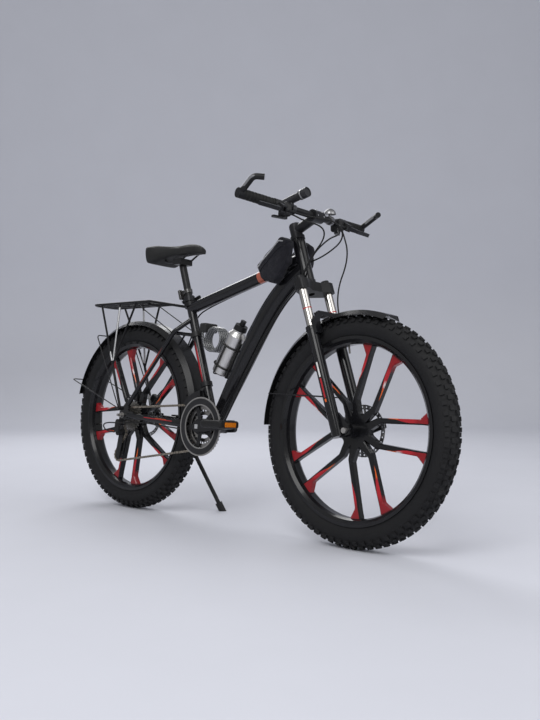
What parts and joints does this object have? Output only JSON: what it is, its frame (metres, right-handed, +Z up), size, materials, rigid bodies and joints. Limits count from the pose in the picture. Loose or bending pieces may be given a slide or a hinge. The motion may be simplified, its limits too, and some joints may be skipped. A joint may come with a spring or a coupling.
{
  "type": "fat tire bike",
  "caption": "Hardtail bicycle with wide knobbly tyres, cast paired-spoke wheels, suspension fork, guards, rear rack, bottle, coiled lock and frame bag, standing on its side stand.",
  "frame": {"origin": "centre of the bounding box on the floor, with the bike leaning on its side stand", "axes": "+X towards the front wheel along the bike's length, +Y towards the bike's left (stand) side, +Z up"},
  "size_m": [1.773, 0.6247, 1.1186],
  "materials": {
    "gloss_black_paint": "gloss black paint",
    "black_alloy": "satin black",
    "cast_black_alloy": "gloss black with red spoke ends",
    "tyre_rubber": "matte",
    "steel": "brushed",
    "chrome": "polished",
    "grip_rubber": "matte",
    "black_plastic": "satin",
    "grey_alloy": "brushed",
    "clear_plastic": "smoky sleeve over cable",
    "bag_fabric": "woven",
    "saddle_cover": "matte"
  },
  "bodies": {
    "frame": {"main_frame": "gloss_black_paint", "rear_triangle": "gloss_black_paint", "headset": "black_alloy", "bottom_bracket": "black_alloy", "seat_clamp": "black_alloy", "rear_caliper": "black_alloy", "rear_rack": "black_alloy", "rear_fender": "black_plastic", "bottle_cage": "black_plastic", "water_bottle": "grey_alloy", "lock_cable": "clear_plastic", "lock_body": "black_plastic", "frame_bag": "bag_fabric", "rear_brake_cable": "grip_rubber", "shift_cables": "grip_rubber", "front_derailleur": "black_alloy", "kickstand_bracket": "black_alloy", "chain": "steel", "rear_derailleur": "black_alloy", "rear_axle": "steel"},
    "front_derailleur_cage": {"front_derailleur_cage": "black_alloy"},
    "kickstand": {"kickstand_leg": "black_alloy"},
    "seatpost": {"seatpost": "black_alloy", "saddle": "saddle_cover", "saddle_rails": "steel", "seat_reflector": "black_plastic"},
    "seat_qr_lever": {"seat_qr_lever": "black_alloy"},
    "steering": {"fork_crown": "gloss_black_paint", "fork_stanchions": "chrome", "stem": "black_alloy", "handlebar": "black_alloy", "grips": "grip_rubber", "bar_ends": "black_alloy", "control_pods": "black_plastic", "bell": "grey_alloy", "headlight": "black_plastic", "front_brake_cable": "grip_rubber"},
    "right_brake_lever": {"right_brake_lever": "black_alloy"},
    "left_brake_lever": {"left_brake_lever": "black_alloy"},
    "right_shift_lever": {"right_shift_lever": "black_plastic"},
    "left_shift_lever": {"left_shift_lever": "black_plastic"},
    "fork_lowers": {"fork_lowers": "gloss_black_paint", "front_fender": "black_plastic", "front_caliper": "black_alloy", "front_axle": "steel"},
    "front_qr_lever": {"front_qr_lever": "black_alloy"},
    "front_wheel": {"front_tyre": "tyre_rubber", "front_wheel": "cast_black_alloy", "front_rotor": "steel"},
    "rear_wheel": {"rear_tyre": "tyre_rubber", "rear_wheel": "cast_black_alloy", "rear_rotor": "steel"},
    "cassette": {"cassette": "steel"},
    "crank": {"crank_arms": "black_alloy", "chainrings": "steel"},
    "right_pedal": {"right_pedal": "black_plastic"},
    "left_pedal": {"left_pedal": "black_plastic"},
    "derailleur_cage": {"derailleur_cage": "black_alloy"},
    "guide_pulley": {"guide_pulley": "black_plastic"},
    "tension_pulley": {"tension_pulley": "black_plastic"}
  },
  "joints": [
    {"name": "steer", "type": "hinge", "parent": "frame", "child": "steering", "pos_m": [0.31035, -0.01963, 0.81843], "axis": [-0.3502, 0.0694, 0.9341], "range_deg": [-60, 60], "deforming": ["rear_brake_cable", "shift_cables"]},
    {"name": "fork_travel", "type": "slide", "parent": "steering", "child": "fork_lowers", "axis": [-0.3502, 0.0694, 0.9341], "range_m": [0, 0.06], "stiffness_N_per_m": 7000, "springref_m": -0.014, "deforming": ["front_brake_cable"]},
    {"name": "front_wheel_spin", "type": "hinge", "parent": "fork_lowers", "child": "front_wheel", "pos_m": [0.5345, -0.05433, 0.35157], "axis": [0, 0.9973, -0.0741], "continuous": true},
    {"name": "rear_wheel_spin", "type": "hinge", "parent": "frame", "child": "rear_wheel", "pos_m": [-0.5305, -0.05433, 0.35157], "axis": [0, 0.9973, -0.0741], "continuous": true},
    {"name": "crank_spin", "type": "hinge", "parent": "frame", "child": "crank", "pos_m": [-0.09, -0.05588, 0.33063], "axis": [0, 0.9973, -0.0741], "continuous": true, "deforming": ["chain"]},
    {"name": "cassette_spin", "type": "hinge", "parent": "frame", "child": "cassette", "pos_m": [-0.5305, -0.05433, 0.35157], "axis": [0, 0.9973, -0.0741], "continuous": true, "deforming": ["chain"]},
    {"name": "derailleur_cage_pivot", "type": "hinge", "parent": "frame", "child": "derailleur_cage", "pos_m": [-0.5415, -0.05922, 0.28575], "axis": [0, 0.9973, -0.0741], "range_deg": [-8, 20], "stiffness_Nm_per_rad": 4, "deforming": ["chain"]},
    {"name": "guide_pulley_spin", "type": "hinge", "parent": "derailleur_cage", "child": "guide_pulley", "pos_m": [-0.5415, -0.05922, 0.28575], "axis": [0, 0.9973, -0.0741], "continuous": true, "deforming": ["chain"]},
    {"name": "tension_pulley_spin", "type": "hinge", "parent": "derailleur_cage", "child": "tension_pulley", "pos_m": [-0.55762, -0.06563, 0.19948], "axis": [0, 0.9973, -0.0741], "continuous": true, "deforming": ["chain"]},
    {"name": "front_derailleur_shift", "type": "slide", "parent": "frame", "child": "front_derailleur_cage", "axis": [0, 0.9973, -0.0741], "range_m": [-0.006, 0.006], "deforming": ["chain"]},
    {"name": "kickstand_fold", "type": "hinge", "parent": "frame", "child": "kickstand", "pos_m": [-0.36, 0.03357, 0.29289], "axis": [0.0638, 0.9646, 0.256], "range_deg": [0, 100]},
    {"name": "saddle_height", "type": "slide", "parent": "frame", "child": "seatpost", "axis": [-0.3551, 0.0693, 0.9323], "range_m": [0, 0.06]},
    {"name": "seat_qr", "type": "hinge", "parent": "frame", "child": "seat_qr_lever", "pos_m": [-0.28727, -0.00107, 0.77809], "axis": [-0.3551, 0.0693, 0.9323], "range_deg": [0, 150]},
    {"name": "front_qr", "type": "hinge", "parent": "fork_lowers", "child": "front_qr_lever", "pos_m": [0.5345, 0.01309, 0.34656], "axis": [-0.3502, 0.0694, 0.9341], "range_deg": [0, 120]},
    {"name": "right_brake", "type": "hinge", "parent": "steering", "child": "right_brake_lever", "pos_m": [0.33595, -0.17098, 1.03233], "axis": [-0.4896, -0.03, -0.8714], "range_deg": [0, 16], "stiffness_Nm_per_rad": 1.5, "springref_deg": -11.46},
    {"name": "right_shift", "type": "hinge", "parent": "steering", "child": "right_shift_lever", "pos_m": [0.3134, -0.13764, 1.00996], "axis": [0, 0.1504, 0.9886], "range_deg": [0, 20], "stiffness_Nm_per_rad": 0.6, "springref_deg": -8.59},
    {"name": "right_pedal_spin", "type": "hinge", "parent": "crank", "child": "right_pedal", "pos_m": [0.07935, -0.15052, 0.35252], "axis": [0, 0.9973, -0.0741], "continuous": true},
    {"name": "left_brake", "type": "hinge", "parent": "steering", "child": "left_brake_lever", "pos_m": [0.33595, 0.16167, 1.00761], "axis": [0.4896, 0.0991, 0.8663], "range_deg": [0, 16], "stiffness_Nm_per_rad": 1.5, "springref_deg": -11.46},
    {"name": "left_shift", "type": "hinge", "parent": "steering", "child": "left_shift_lever", "pos_m": [0.3134, 0.12539, 0.99042], "axis": [0, 0.0026, -1], "range_deg": [0, 20], "stiffness_Nm_per_rad": 0.6, "springref_deg": -8.59},
    {"name": "left_pedal_spin", "type": "hinge", "parent": "crank", "child": "left_pedal", "pos_m": [-0.25936, 0.03876, 0.30873], "axis": [0, 0.9973, -0.0741], "continuous": true}
  ],
  "couplings": [
    {"joint": "cassette_spin", "follows": "crank_spin", "ratio": 2.7143},
    {"joint": "guide_pulley_spin", "follows": "crank_spin", "ratio": -3.4545},
    {"joint": "tension_pulley_spin", "follows": "crank_spin", "ratio": 3.4545}
  ]
}
